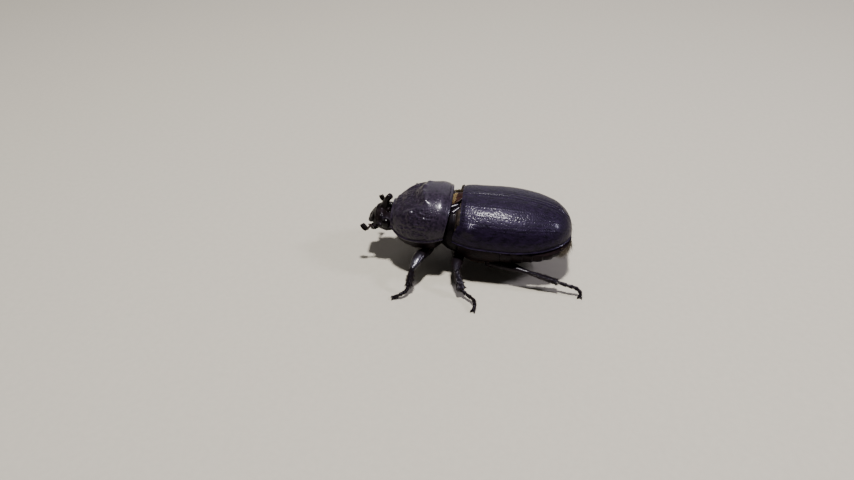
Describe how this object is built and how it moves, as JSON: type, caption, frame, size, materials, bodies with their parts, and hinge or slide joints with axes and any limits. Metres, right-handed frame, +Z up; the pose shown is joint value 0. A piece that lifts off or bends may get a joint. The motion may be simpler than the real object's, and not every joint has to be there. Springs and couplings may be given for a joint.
{
  "type": "rhinoceros beetle",
  "caption": "Still life-size horned scarab beetle in a walking stance, with a short curved horn, domed wing cases, clubbed feelers and toothed legs ending in claws.",
  "frame": {"origin": "on the floor, under the middle of the beetle's overall outline, feet included", "axes": "+Z up, head toward -Y and wing cases toward +Y, the beetle's left side toward +X"},
  "size_m": [0.038, 0.0452, 0.016],
  "materials": {
    "black_chitin": "satin black chitin with a violet sheen",
    "brown_chitin": "glossy dark red-brown chitin",
    "eye": "glossy black facetted eye",
    "club": "finely hairy brown chitin"
  },
  "bodies": {
    "root": {"head": "black_chitin", "clypeus": "black_chitin", "head_horn": "black_chitin", "mentum": "brown_chitin", "eye_left": "eye", "antenna_left": "brown_chitin", "antenna_club_left": "club", "mandible_left": "black_chitin", "palp_left": "brown_chitin", "eye_right": "eye", "antenna_right": "brown_chitin", "antenna_club_right": "club", "mandible_right": "black_chitin", "palp_right": "brown_chitin", "pronotum": "black_chitin", "prosternum": "brown_chitin", "scutellum": "black_chitin", "mesothorax": "brown_chitin", "elytron_left": "black_chitin", "elytron_right": "black_chitin", "metathorax": "brown_chitin", "abdomen": "brown_chitin", "pygidium": "brown_chitin", "fore_left_coxa": "brown_chitin", "fore_left_femur": "black_chitin", "fore_left_tibia": "black_chitin", "fore_left_tarsus": "black_chitin", "mid_left_coxa": "brown_chitin", "mid_left_femur": "black_chitin", "mid_left_tibia": "black_chitin", "mid_left_tarsus": "black_chitin", "hind_left_coxa": "brown_chitin", "hind_left_femur": "black_chitin", "hind_left_tibia": "black_chitin", "hind_left_tarsus": "black_chitin", "fore_right_coxa": "brown_chitin", "fore_right_femur": "black_chitin", "fore_right_tibia": "black_chitin", "fore_right_tarsus": "black_chitin", "mid_right_coxa": "brown_chitin", "mid_right_femur": "black_chitin", "mid_right_tibia": "black_chitin", "mid_right_tarsus": "black_chitin", "hind_right_coxa": "brown_chitin", "hind_right_femur": "black_chitin", "hind_right_tibia": "black_chitin", "hind_right_tarsus": "black_chitin"}
  },
  "joints": []
}
